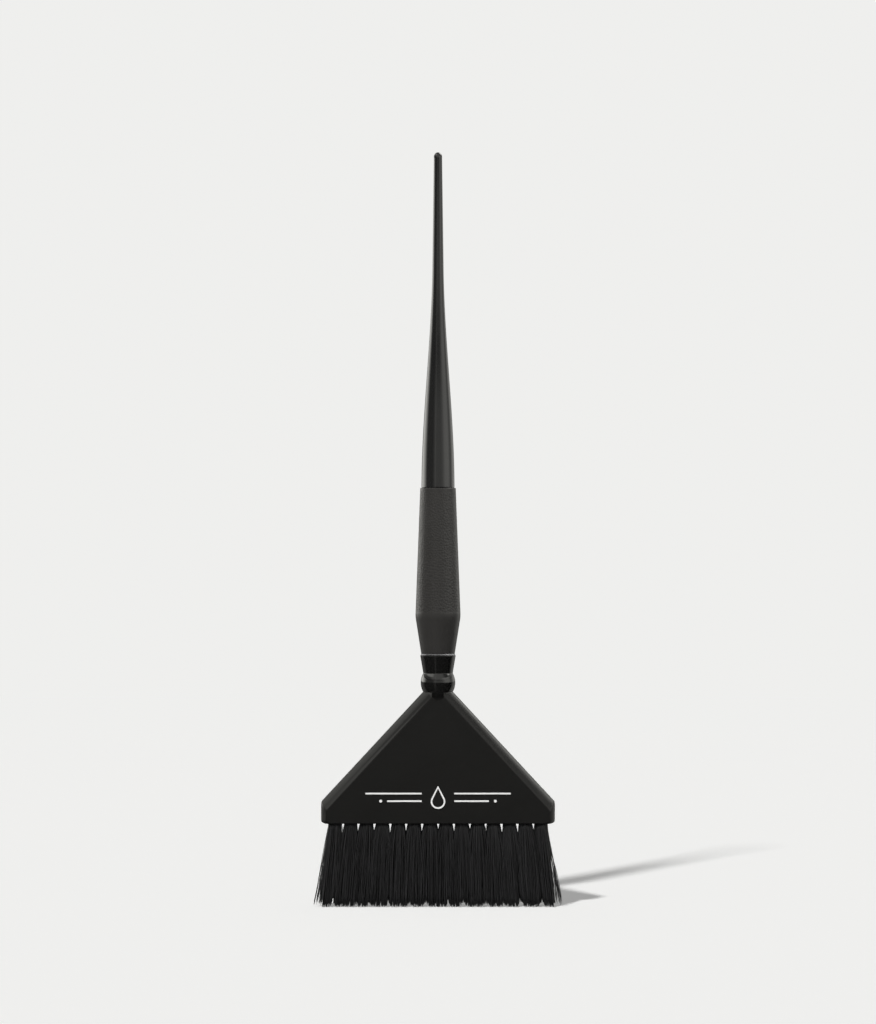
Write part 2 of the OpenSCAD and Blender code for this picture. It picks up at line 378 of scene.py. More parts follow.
def make_tail():
    """One moulding: spigot, keyed core and the long tail with its rounded end."""
    length = OVERALL_L - GRIP_TOP_Z
    spigot = [(0, SPIGOT_END_Z, 0), (SPIGOT_R - LEAD_IN_R, SPIGOT_END_Z, 0),
              (SPIGOT_R, SPIGOT_END_Z + LEAD_IN_L, 0), (SPIGOT_R, GRIP_BOTTOM_Z, 0)]
    # The last point only says where the outline goes on; the tail starts there
    step = [(TAIL_ROOT_R, GRIP_TOP_Z, STEP_FILLET), (TAIL_ROOT_R, GRIP_TOP_Z + STEP_L, 0)]
    lower = fillet(spigot + core_outline() + step, steps=3)[:-1]
    share = np.linspace(1 - STEP_L / length, TAIL_TIP_R / length, TAIL_STEPS)
    upper = [(tail_r(u), OVERALL_L - u * length) for u in share]
    end = [(tail_r(0) * math.cos(a), OVERALL_L - TAIL_TIP_R * (1 - math.sin(a)))
           for a in np.radians(np.arange(TIP_STEP_DEG, 90, TIP_STEP_DEG))]

    def parting_line(angle, r, z):
        # It runs faintly along both sides
        if z < GRIP_TOP_Z + STEP_L or z > OVERALL_L - SEAM_STOP:
            return 0
        return SEAM_H * (np.abs(np.sin(angle)) < SEAM_SINE)

    mesh = lathe("tail", lower + upper + end + [(0, OVERALL_L)], TAIL_SEGMENTS,
                 relief=parting_line)
    piece = add_object("rat_tail_moulding", mesh, tail_gloss)
    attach(piece, "handle")
    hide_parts("tail_handle")


# ---- Grip -----------------------------------------------------------------------------------

GRIP_SEGMENTS = 272
# Coarse rings below the belly, finer ones round it and the finest where the pebbles are
PLAIN_STEP, BELLY_STEP, PEBBLE_STEP = 0.6, 0.2, 0.165
PLAIN_START_Z, BELLY_START_Z, RINGS_END_Z = (
    GRIP_BOTTOM_Z + 0.4, GRIP_BELLY_Z - 1.25, GRIP_TOP_Z - 0.35)
BELLY_SOFT = 1.2
LIP_FILLET, HEM_FILLET = 0.3, 0.25
LIP_START_Z, HEM_END_Z = GRIP_TOP_Z - 0.34, GRIP_BOTTOM_Z + 0.39
WALL_REST = 0.3
PEBBLE_SEED = 11
PEBBLES_ROUND, SPARE_ROWS = 50, 3
PEBBLE_H = 0.95
PEBBLE_DEPTH = 0.075
PEBBLE_GAP = 0.3
PEBBLE_LOW_Z = GRIP_BELLY_Z + 0.8
PEBBLE_HIGH_Z = GRIP_TOP_Z - 0.7
PEBBLE_FADE_LOW, PEBBLE_FADE_HIGH = 1.2, 0.8
# Points further in than this belong to the bore
SKIN_T = 0.5


def grip_r(z):
    """Radius of the sleeve's skin before the pebbles are cut, with its belly softened."""
    straight = np.interp(z, [GRIP_BOTTOM_Z, GRIP_BELLY_Z, GRIP_TOP_Z],
                         [GRIP_BOTTOM_R, GRIP_BELLY_R, GRIP_TOP_R])
    above = (GRIP_TOP_R - GRIP_BELLY_R) / (GRIP_TOP_Z - GRIP_BELLY_Z)
    below = (GRIP_BELLY_R - GRIP_BOTTOM_R) / (GRIP_BELLY_Z - GRIP_BOTTOM_Z)
    near = np.clip(1 - abs(z - GRIP_BELLY_Z) / BELLY_SOFT, 0, 1)
    return straight - near * near * BELLY_SOFT * (below - above) / 4


def pebbles(rng):
    """Irregular small pebbles laid round the grip: gives how far a point is from the groove
    between its pebble and the next."""
    rows = int(GRIP_TOP_Z / PEBBLE_H) + SPARE_ROWS
    middle = rng.uniform(0, 1, (rows, PEBBLES_ROUND, 2))

    def to_groove(angle, r, z):
        width = 2 * math.pi * r / PEBBLES_ROUND
        a, b = angle / (2 * math.pi) * PEBBLES_ROUND, z / PEBBLE_H
        near = []
        for i in (-1, 0, 1):
            for j in (-1, 0, 1):
                column, row = np.floor(a).astype(int) + i, int(b) + j
                at = middle[row, column % PEBBLES_ROUND]
                near.append(np.hypot((column + at[:, 0] - a) * width,
                                     (row + at[:, 1] - b) * PEBBLE_H))
        near = np.sort(near, axis=0)
        return near[1] - near[0]

    return to_groove


def make_grip():
    """Rubber sleeve: pebbled above its belly, smooth below."""
    to_groove = pebbles(np.random.default_rng(PEBBLE_SEED))

    def relief(angle, r, z):
        # Only the skin is pebbled, not the bore
        if z < PEBBLE_LOW_Z or z > PEBBLE_HIGH_Z or r < grip_r(z) - SKIN_T:
            return 0
        fade = (ease((z - PEBBLE_LOW_Z) / PEBBLE_FADE_LOW)
                * ease((PEBBLE_HIGH_Z - z) / PEBBLE_FADE_HIGH))
        return -PEBBLE_DEPTH * fade * (1 - ease(to_groove(angle, r, z) / PEBBLE_GAP))

    zs = np.concatenate([
        np.arange(PLAIN_START_Z, BELLY_START_Z, PLAIN_STEP),
        np.arange(BELLY_START_Z, PEBBLE_LOW_Z, BELLY_STEP),
        np.arange(PEBBLE_LOW_Z, RINGS_END_Z, PEBBLE_STEP)])
    outer = [(grip_r(z), z) for z in zs]
    hem = fillet([(CORE_BOTTOM_R + WALL_REST, GRIP_BOTTOM_Z, 0),
                  (GRIP_BOTTOM_R, GRIP_BOTTOM_Z, HEM_FILLET),
                  (grip_r(HEM_END_Z), HEM_END_Z, 0)])
    lip = fillet([(grip_r(LIP_START_Z), LIP_START_Z, 0), (GRIP_TOP_R, GRIP_TOP_Z, LIP_FILLET),
                  (TAIL_ROOT_R - WALL_REST, GRIP_TOP_Z, 0)])[1:]
    bore = fillet(core_outline(), steps=2)[::-1]
    mesh = lathe("grip", hem + outer + lip + bore, GRIP_SEGMENTS, closed=True, relief=relief)
    piece = add_object("grip_rubber_sleeve", mesh, grip_rubber)
    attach(piece, "handle")
    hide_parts("grip_sleeve")


# ---- Ring and neck --------------------------------------------------------------------------

RING_SEGMENTS, NECK_SEGMENTS = 128, 160
RING_FILLET, CREASE_FILLET, COLLAR_FILLET = 0.1, 0.35, 0.16
NECK_CREASE_Z = 80.3
BEAD_R, CREASE_R = 5.95, 5.08
BEAD_STEPS = 28
# The bead's arc stops short of the crease, which its fillet then rounds
BEAD_SHARE = 0.93
SOCKET_R = SPIGOT_R + BOND_GAP
SOCKET_LEAD_IN = 0.3


def make_ring():
    """Thin metal ring between collar and grip, with its corners broken."""
    low, high = ring_low[2], ring_high[2]
    outline = fillet([(SOCKET_R, low, 0), (RING_R, low, RING_FILLET),
                      (RING_R, high, RING_FILLET), (SOCKET_R, high, 0)])
    mesh = lathe("ring", outline, RING_SEGMENTS, closed=True)
    piece = add_object("accent_ring_metal", mesh, accent_metal)
    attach(piece, "handle")
    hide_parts("accent_ring")


def make_neck():
    """Polished collar and bead, with the socket above and the tenon below."""
    half, rise = (NECK_CREASE_Z - NECK_SEAT_Z) / 2, BEAD_R - CREASE_R
    arc_r = (half * half + rise * rise) / (2 * rise)
    reach = math.asin(half / arc_r)
    bead = [(BEAD_R - arc_r + arc_r * math.cos(a), NECK_SEAT_Z + half + arc_r * math.sin(a), 0)
            for a in np.linspace(-reach, reach * BEAD_SHARE, BEAD_STEPS)]
    tenon = [(0, TENON_END_Z, 0), (TENON_R - LEAD_IN_R, TENON_END_Z, 0),
             (TENON_R, TENON_END_Z + LEAD_IN_L, 0), (TENON_R, NECK_SEAT_Z, 0)]
    collar = [(CREASE_R, NECK_CREASE_Z, CREASE_FILLET), (COLLAR_R, COLLAR_TOP_Z, COLLAR_FILLET)]
    socket = [(SOCKET_R + SOCKET_LEAD_IN, COLLAR_TOP_Z, 0),
              (SOCKET_R, COLLAR_TOP_Z - SOCKET_LEAD_IN, 0),
              (SOCKET_R, SPIGOT_END_Z - END_GAP, 0), (0, SPIGOT_END_Z - END_GAP, 0)]
    mesh = lathe("neck", fillet(tenon + bead + collar + socket, steps=8), NECK_SEGMENTS)
    piece = add_object("neck_collar_polished", mesh, neck_gloss)
    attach(piece, "handle")
    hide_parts("neck_collar")


# ---- Head -----------------------------------------------------------------------------------

SHOULDER_Z = 36.0
APEX_HALF_W, APEX_HALF_T = 5.2, 4.0
RIM_HALF_T = 2.2
SLOPE_BEVEL, SIDE_BEVEL = 3.2, 1.7
SLOPE = math.atan2(NECK_SEAT_Z - SHOULDER_Z, HEAD_HALF_W - APEX_HALF_W)
# Corner radii of the front view: lower right, right shoulder, top right and back down the left
HEAD_CORNER_RADII = (1.1, 1.6, 0.5, 0.5, 1.6, 1.1)
# Half width of the face's flat top, and how far it lies under the point where its slopes meet
FACE_TOP = 0.4
# The bevel bulges by this share of its width, and bends over at most this reach
BEVEL_CROWN, CROWN_REACH = 0.07, 9
FACE_EDGE_SOFT, RIM_EDGE_SOFT = 0.3, 1.0
FACE_MARGIN = 1.5
FACE_CENTRE_Z = 45
SIDE_SHARE = 0.45
TUFTS_PER_ROW = 14
TUFT_PITCH, ROW_PITCH = 5.47, 4.9
HOLE_R, HOLE_DEPTH, HOLE_POINT = 2.0, 7.0, 0.6
HOLE_CHAMFER_R, HOLE_CHAMFER_L = 0.35, 0.3
HOLE_SEGMENTS, MORTISE_SEGMENTS, FOOT_SEGMENTS = 40, 64, 96
FOOT_LOW_Z, FOOT_LOW_R = 69.5, 3.7
FOOT_WAIST_Z, FOOT_WAIST_R, FOOT_WAIST_FILLET = 72.2, CREASE_R - 0.55, 2.5
# How far cutters stick out, so that no two faces lie in one plane, and how far the chamfers do
CUT_PAST, CHAMFER_PAST = 1, 0.01
WELD_MM = 0.003
HEAD_SHARP_DEG = 32


def head_face_y(z):
    """Half thickness of the head at height z."""
    return HEAD_HALF_T + ((APEX_HALF_T - HEAD_HALF_T) * (z - HEAD_BOTTOM_Z)
                          / (NECK_SEAT_Z - HEAD_BOTTOM_Z))


def head_outline(share, arc_steps=8):
    """Front view of the head with its sides moved in by that share of their bevels."""
    sine, cosine = math.sin(SLOPE), math.cos(SLOPE)
    lines = [  # outward normal (x, z) and distance from the origin
        ((0, -1), -HEAD_BOTTOM_Z),
        ((1, 0), HEAD_HALF_W - share * SIDE_BEVEL),
        ((sine, cosine), sine * HEAD_HALF_W + cosine * SHOULDER_Z - share * SLOPE_BEVEL),
        ((0, 1), NECK_SEAT_Z),
    ]
    lines += [((-n[0], n[1]), d) for n, d in reversed(lines[1:3])]

    def crossing(i, j):
        (a, c), (b, d) = lines[i], lines[j]
        return np.linalg.solve(np.array([a, b], float), np.array([c, d], float))

    count = len(lines)
    corners = [crossing(k, (k + 1) % count) for k in range(count)]
    if corners[2][0] < FACE_TOP:  # the two slopes meet below the neck's seat
        top = crossing(2, 4)
        corners[2], corners[3] = top + [FACE_TOP, -FACE_TOP], top + [-FACE_TOP, -FACE_TOP]
    points = []
    for k, radius in enumerate(HEAD_CORNER_RADII):
        points += round_corner(corners[k - 1], corners[k], corners[(k + 1) % count], radius,
                               SIDE_SHARE, arc_steps)
    return np.array(points)


def soften(a, corner, b, reach, steps=5):
    """Rounds a whole loop of corners at once, each between its own points a and b."""
    u, v = a - corner, b - corner
    lu = np.linalg.norm(u, axis=1, keepdims=True)
    lv = np.linalg.norm(v, axis=1, keepdims=True)
    start = corner + u / lu * np.minimum(reach, SIDE_SHARE * lu)
    end = corner + v / lv * np.minimum(reach, SIDE_SHARE * lv)
    return curve(start, corner, end, steps)


def head_shell():
    """The bevelled plate, with its edges softened, as a closed mesh."""
    face, rim = head_outline(1), head_outline(0)
    front = np.column_stack([face[:, 0], -head_face_y(face[:, 1]), face[:, 1]])
    edge = np.column_stack([rim[:, 0], np.full(len(rim), -RIM_HALF_T), rim[:, 1]])
    middle = edge * [1, 0, 1]
    towards = np.array([0, -head_face_y(FACE_CENTRE_Z), FACE_CENTRE_Z]) - front
    inside = front + towards / np.linalg.norm(towards, axis=1, keepdims=True) * FACE_MARGIN
    inside[:, 1] = -head_face_y(inside[:, 2])

    # The bevel bulges a little, and turns into the edge over a wide radius
    out = np.cross(np.roll(front, -1, 0) - np.roll(front, 1, 0), edge - front)
    out /= np.maximum(np.linalg.norm(out, axis=1, keepdims=True), 1e-9)
    out *= np.sign(out[:, 1:2]) * -1
    width = np.linalg.norm(edge - front, axis=1, keepdims=True)
    bulge = (front + edge) / 2 + out * width * BEVEL_CROWN

    half = (soften(inside, front, bulge, FACE_EDGE_SOFT)[:-1]
            + soften(front, bulge, edge, CROWN_REACH)[1:-1]
            + soften(bulge, edge, middle, RIM_EDGE_SOFT))
    loops = half + [loop * np.array([1, -1, 1]) for loop in reversed(half)]
    count = len(rim)
    faces = [tuple(range(count)), tuple(range((len(loops) - 1) * count, len(loops) * count))]
    for k in range(len(loops) - 1):
        for i in range(count):
            j = (i + 1) % count
            faces.append((k * count + i, k * count + j,
                          (k + 1) * count + j, (k + 1) * count + i))
    return mesh_from("head", np.concatenate(loops), faces)


def in_row(i):
    """Position of tuft i along its row, in pitches from the middle."""
    return i - (TUFTS_PER_ROW - 1) / 2


def tool(name, meshes):
    """One object made of several closed meshes, to cut or join with."""
    work = bmesh.new()
    for mesh in meshes:
        work.from_mesh(mesh)
    joined = bpy.data.meshes.new(name)
    work.to_mesh(joined)
    work.free()
    made = bpy.data.objects.new(name, joined)
    bpy.context.scene.collection.objects.link(made)
    return made


def tuft_hole(side, i):
    """Cutter of one blind tuft hole, with its chamfered mouth and its drill point."""
    top, mouth_r = HEAD_BOTTOM_Z + HOLE_DEPTH, HOLE_R + HOLE_CHAMFER_R
    mesh = lathe("hole", [(0, HEAD_BOTTOM_Z - CUT_PAST), (mouth_r, HEAD_BOTTOM_Z - CUT_PAST),
                          (mouth_r, HEAD_BOTTOM_Z - CHAMFER_PAST),
                          (HOLE_R, HEAD_BOTTOM_Z + HOLE_CHAMFER_L),
                          (HOLE_R, top), (0, top + HOLE_POINT)], HOLE_SEGMENTS)
    x, y = in_row(i) * TUFT_PITCH, side * ROW_PITCH / 2
    mesh.transform(Matrix.Translation((x * MM, y * MM, 0)))
    return mesh


def clean(mesh):
    """Mends what the cutting leaves: hair-thin faces, and faces with many corners."""
    work = bmesh.new()
    work.from_mesh(mesh)
    bmesh.ops.remove_doubles(work, verts=work.verts, dist=WELD_MM * MM)
    bmesh.ops.dissolve_degenerate(work, edges=work.edges, dist=WELD_MM * MM)
    bmesh.ops.triangulate(work, faces=[f for f in work.faces if len(f.verts) > 4])
    work.to_mesh(mesh)
    work.free()


def even_out(piece):
    """Keeps large faces flat where they meet small ones."""
    piece.modifiers.new("even", "WEIGHTED_NORMAL").keep_sharp = True


def make_head():
    """Satin plate with its foot under the neck, its mortise and its tuft holes."""
    piece = add_object("head_plate_satin", head_shell(), head_satin)
    foot = tool("foot", [lathe("foot", fillet(
        [(0, FOOT_LOW_Z, 0), (FOOT_LOW_R, FOOT_LOW_Z, 0),
         (FOOT_WAIST_R, FOOT_WAIST_Z, FOOT_WAIST_FILLET), (CREASE_R, NECK_SEAT_Z, 0),
         (0, NECK_SEAT_Z, 0)], steps=6), FOOT_SEGMENTS)])
    holes = [tuft_hole(side, i) for side in (-1, 1) for i in range(TUFTS_PER_ROW)]
    bore_r, bore_end = TENON_R + BOND_GAP, TENON_END_Z - END_GAP
    mortise = lathe("mortise", [(0, bore_end), (bore_r, bore_end),
                                (bore_r, NECK_SEAT_Z + CUT_PAST), (0, NECK_SEAT_Z + CUT_PAST)],
                    MORTISE_SEGMENTS)
    cuts = tool("cuts", holes + [mortise])
    for operation, shape in (("UNION", foot), ("DIFFERENCE", cuts)):
        change = piece.modifiers.new(operation.lower(), "BOOLEAN")
        change.operation, change.object, change.solver = operation, shape, "EXACT"
    # The mesh keeps the normals of this pass, which show at the foot
    even_out(piece)
    bpy.context.view_layer.update()
    depsgraph = bpy.context.evaluated_depsgraph_get()
    solid = bpy.data.meshes.new_from_object(piece.evaluated_get(depsgraph))
    piece.modifiers.clear()
    clean(solid)
    piece.data = solid
    for shape in (foot, cuts):
        bpy.data.objects.remove(shape)
    solid.set_sharp_from_angle(angle=math.radians(HEAD_SHARP_DEG))
    even_out(piece)
    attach(piece, "handle")
    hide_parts("head_plate")


# ---- Bristles -------------------------------------------------------------------------------

BRISTLE_SEED = 24
FILAMENTS = 260
FILAMENT_R, FILAMENT_R_SPREAD = 0.095, (0.85, 1.15)
FILAMENT_SIDES = 4
FILAMENT_TIP_SHARE = 0.5
# Where the filaments run: deep in the hole, in its mouth, at the head's face and at the tips
ROOT_Z, ROOT_R = 33.5, 1.85
MOUTH_Z, MOUTH_R = HEAD_BOTTOM_Z + 0.24, 1.85
FACE_R = 2.17
TIP_PITCH, TIP_ROW_PITCH = 5.86, 5.9
TIP_HALF_W, TIP_HALF_D = 3.45, 2.8
SQUARE_SHARE = 0.9
DEPTH_LIMIT = 5.8
# Rings of the free length, as fractions of the way from the head to the tip
DEPTHS = np.array([0, 0.07, 0.15, 0.24, 0.34, 0.46, 0.6, 0.76, 0.9, 1.0])
# Spread of the random draws, in mm apart from ROOT_JITTER, which is in tuft radii
ROOT_JITTER, TIP_JITTER_X, TIP_JITTER_Y = 0.03, 0.35, 0.2
LOWEST_TIP, UNEVEN = 0.02, 0.32
SHORT_SHARE, SHORT_BY = 0.1, 1.5
START_ANGLES = (0, 6)
# Sideways wave of a filament, and by how many radians it turns on the way down
WAVE, WAVE_TURN = 0.22, 3
# The tips' own scatter and their pull into clumps set in as these powers of the way down
SCATTER_POWER, PULL_POWER = 1.5, 8
# How quickly a tuft opens below the head, how much its filaments differ in that, how evenly
# those of the end tufts' outer side spread, and how soon towards that side they do
OPENING, OWN_OPENING, EVEN_OPENING = (2.6, 4.6), (0.6, 1.6), (0.85, 1.25)
EVEN_RAMP = 1.4
# Outer side of the end tufts: reach of its filaments, and the share that stands away and from
# where on, their reach and how much shorter they are
END_REACH = 1.7
LOOSE_FROM, LOOSE_SHARE, LOOSE_REACH, LOOSE_SHORT = 0.55, 0.3, (1.9, 4.7), (0.2, 1.3)
# Notches between the clumps that the tips gather in: spacing, height, shift and width
NOTCHES, NOTCH_PITCH, NOTCH_START = 40, 6.4, -3.6
NOTCH_H, NOTCH_SHIFT, NOTCH_W = (0.5, 1.9), (-1.3, 1.3), (0.5, 0.9)
NOTCH_PULL = 0.05
TOOTH_WAVES, TOOTH_SHIFT, TOOTH_H = (0.53, 0.83, 1.37, 2.3), 7, 0.32


def notch(x, notches):
    """How far the tips at x stand back, between the clumps they gather in and in the small
    teeth of each clump, and how far each is drawn sideways towards its clump."""
    k = np.round((x - NOTCH_START) / NOTCH_PITCH)
    which = (k.astype(int) + len(notches) // 2) % len(notches)
    height, shift, width = notches[which].T
    away = x - (NOTCH_START + k * NOTCH_PITCH) - shift
    shape = np.exp(-(away / width) ** 2)
    teeth = sum(np.sin(x * 2 * math.pi / wave + TOOTH_SHIFT * wave + height[0])
                for wave in TOOTH_WAVES)
    back = height * shape + TOOTH_H * np.maximum(teeth, 0)
    return back, np.sign(away) * NOTCH_PULL * shape


def squared(u, v):
    """Moves points of the unit disc out towards a square with soft corners."""
    angle = np.arctan2(v, u)
    stretch = 1 / np.maximum(np.abs(np.cos(angle)), np.abs(np.sin(angle)))
    stretch = 1 + (stretch - 1) * SQUARE_SHARE
    return u * stretch, v * stretch


def scattered(rng, n):
    """Points spread evenly over the unit disc, slightly out of order."""
    k = np.arange(n) + 0.5
    # A golden angle apart, from a random start
    radius = np.sqrt(k / n)
    angle = k * math.pi * (3 - math.sqrt(5)) + rng.uniform(*START_ANGLES)
    u = radius * np.cos(angle) + rng.normal(0, ROOT_JITTER, n)
    v = radius * np.sin(angle) + rng.normal(0, ROOT_JITTER, n)
    far = np.maximum(np.hypot(u, v), 1)
    return u / far, v / far


def tuft_paths(rng, side, i, notches):
    """Centre lines of one tuft's filaments: points of shape (filament, ring, 3)."""
    n = FILAMENTS
    u, v = scattered(rng, n)
    su, sv = squared(u, v)
    root = np.array([in_row(i) * TUFT_PITCH, side * ROW_PITCH / 2])
    tip = np.array([in_row(i) * TIP_PITCH, side * TIP_ROW_PITCH / 2])
    tip_x = tip[0] + su * TIP_HALF_W + rng.normal(0, TIP_JITTER_X, n)
    tip_y = tip[1] + sv * TIP_HALF_D + rng.normal(0, TIP_JITTER_Y, n)
    # The end tufts open evenly on their outer side, where some filaments stand away
    loose, straight = np.zeros(n, bool), np.zeros(n)
    if i in (0, TUFTS_PER_ROW - 1):
        out = math.copysign(1, in_row(i))
        tip_x = tip[0] + out * np.minimum(out * (tip_x - tip[0]), END_REACH)
        loose = (u * out > LOOSE_FROM) & (rng.random(n) < LOOSE_SHARE)
        tip_x = np.where(loose, tip[0] + out * rng.uniform(*LOOSE_REACH, n), tip_x)
        straight = np.maximum(ease(EVEN_RAMP * u * out), loose)
    back, pull = notch(tip_x, notches)
    uneven = (np.abs(rng.normal(0, UNEVEN, n))
              + SHORT_BY * (rng.random(n) < SHORT_SHARE) * rng.random(n))
    tip_z = LOWEST_TIP + uneven + np.where(loose, rng.uniform(*LOOSE_SHORT, n), back)
    # Below the head a tuft opens quickly at first, each filament in its own way
    opening = rng.uniform(*OPENING) * rng.uniform(*OWN_OPENING, n)
    wave = rng.normal(0, WAVE, (n, 2))
    phase = rng.uniform(0, math.pi, n)
    even = rng.uniform(*EVEN_OPENING, n)
    paths = np.empty((n, len(DEPTHS) + 2, 3))
    for ring, (reach, z) in enumerate(((ROOT_R, ROOT_Z), (MOUTH_R, MOUTH_Z))):
        paths[:, ring] = np.stack([root[0] + u * reach, root[1] + v * reach, np.full(n, z)], -1)
    for ring, t in enumerate(DEPTHS, start=2):
        opened = (1 - straight) * (1 - (1 - t) ** opening) + straight * t ** even
        centre = root + (tip - root) * t
        late = np.maximum(t ** SCATTER_POWER, straight)
        wide_x = su * TIP_HALF_W + (tip_x - tip[0] - su * TIP_HALF_W) * late
        wide_y = sv * TIP_HALF_D + (tip_y - tip[1] - sv * TIP_HALF_D) * late
        bow = math.sin(math.pi * t)
        paths[:, ring, 0] = (centre[0] + u * FACE_R + (wide_x - u * FACE_R) * opened
                             + wave[:, 0] * bow * np.sin(phase + WAVE_TURN * t)
                             + pull * t ** PULL_POWER)
        paths[:, ring, 1] = (centre[1] + v * FACE_R + (wide_y - v * FACE_R) * opened
                             + wave[:, 1] * bow)
        paths[:, ring, 2] = HEAD_BOTTOM_Z + (tip_z - HEAD_BOTTOM_Z) * t
    paths[:, :, 1] = np.clip(paths[:, :, 1], -DEPTH_LIMIT, DEPTH_LIMIT)
    return paths


def tube_mesh(name, paths, radius, turn):
    """Closed thin tubes along near-vertical paths, narrowed at the tip."""
    n, rings, _ = paths.shape
    sides = np.arange(FILAMENT_SIDES)
    angle = turn[:, None] + sides * 2 * math.pi / FILAMENT_SIDES
    around = np.stack([np.cos(angle), np.sin(angle), np.zeros_like(angle)], -1)
    width = np.where(np.arange(rings) == rings - 1, FILAMENT_TIP_SHARE, 1.0)
    spokes = radius[:, None, None, None] * width[None, :, None, None] * around[:, None]
    points = (paths[:, :, None, :] + spokes).reshape(-1, 3)
    first = np.arange(n) * rings * FILAMENT_SIDES
    low = first[:, None, None] + (np.arange(rings - 1) * FILAMENT_SIDES)[None, :, None]
    high = low + FILAMENT_SIDES
    j = (sides + 1) % FILAMENT_SIDES
    walls = np.stack([low + sides, high + sides, high + j, low + j], -1)
    top = first[:, None] + sides
    bottom = first[:, None] + (rings - 1) * FILAMENT_SIDES + sides[::-1]
    quads = np.concatenate([walls.reshape(-1, 4), top, bottom])
    mesh = bpy.data.meshes.new(name)
    mesh.vertices.add(len(points))
    mesh.vertices.foreach_set("co", (points * MM).ravel())
    mesh.loops.add(quads.size)
    mesh.loops.foreach_set("vertex_index", quads.ravel())
    mesh.polygons.add(len(quads))
    mesh.polygons.foreach_set("loop_start", np.arange(len(quads)) * 4)
    mesh.update(calc_edges=True)
    mesh.validate()
    return mesh


def make_bristles():
    """One piece per tuft."""
    rng = np.random.default_rng(BRISTLE_SEED)
    notches = np.stack([rng.uniform(*span, NOTCHES)
                        for span in (NOTCH_H, NOTCH_SHIFT, NOTCH_W)], -1)
    for side, row in ((-1, "front"), (1, "back")):
        for i in range(TUFTS_PER_ROW):
            paths = tuft_paths(rng, side, i, notches)
            radius = FILAMENT_R * rng.uniform(*FILAMENT_R_SPREAD, FILAMENTS)
            turn = rng.uniform(0, math.pi, FILAMENTS)
            mesh = tube_mesh("tuft", paths, radius, turn)
            piece = add_object(f"bristles_{row}_{i + 1:02d}", mesh, bristle_nylon, sharp_deg=100)
            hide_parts(f"tuft_{row}_{i + 1:02d}")
            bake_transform(piece)


# ---- Pieces kept from the CAD ---------------------------------------------------------------

def dress(node, material):
    """Gives a CAD node its finished material."""
    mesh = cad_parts[node].data
    mesh.materials.clear()
    mesh.materials.append(material)


# ---- Camera ---------------------------------------------------------------------------------

# Metres, and the sensor in millimetres
CAMERA_D = 1.5
VIEW_H = 0.3533
VIEW_Z = 0.1359
SENSOR = 36.0


def make_camera():
    """Square on to the front, with a view as high as VIEW_H where the brush stands."""
    camera = bpy.data.cameras.new("camera")
    camera.sensor_width = SENSOR
    camera.lens = SENSOR * CAMERA_D / VIEW_H
    camera.clip_start, camera.clip_end = 0.01, 100
    holder = bpy.data.objects.new("camera", camera)
    holder.location = (0, -CAMERA_D, VIEW_Z)
    holder.rotation_euler = (math.pi / 2, 0, 0)
    bpy.context.scene.collection.objects.link(holder)
    bpy.context.scene.camera = holder


# ---- Studio light ---------------------------------------------------------------------------

# Soft boxes on a ring round the brush, which only its reflections see. Middle and width in
# degrees round from the front (minus is left), softness of the sides in degrees, lower and upper
# edge and their softness in metres, brightness.
ALL_ROUND = (0, 720, 1)
SOFT_BOXES = {
    "room": (*ALL_ROUND, 0.09, 0.36, 0.05, 0.22),
    "front": (0, 60, 24, 0.09, 0.36, 0.05, 0.48),
    "slim_strip": (-19, 7, 10, -1.0, 3.2, 0.05, 0.3),
    "right": (64, 56, 40, 0.09, 0.6, 0.05, 1.5),
    "right_rear": (128, 44, 30, 0.09, 0.36, 0.05, 0.4),
    "left_rear": (-122, 50, 30, 0.09, 0.36, 0.05, 2.6),
    "upper_room": (*ALL_ROUND, 0.42, 3.2, 0.05, 0.3),
    "upper_front": (0, 96, 30, 0.42, 3.2, 0.05, 0.75),
    "upper_left": (-82, 80, 30, 0.7, 3.2, 0.2, 2.1),
    "upper_right_rear": (126, 70, 24, 0.7, 3.2, 0.2, 4.8),
    "pale_wall_left": (-128, 40, 24, -1.0, 3.2, 0.05, 0.3),
    "pale_wall_right": (130, 44, 24, -1.0, 3.2, 0.05, 0.6),
}
BOX_TINT = (1.0, 0.99, 0.94)
BOX_RING_R = 1.0
BOX_RING_LOW, BOX_RING_HIGH = -1.0, 3.2
BOX_RING_SEGMENTS = 96
# Level seen beyond the ring, overhead and underneath
SKY_LEVEL = 0.8
# Name, strength, apparent width, degrees round from the front (minus is left) and degrees up
LAMPS = [("key", 3.0, 4.5, -25.5, 41), ("fill", 0.3, 150, 0, 90)]


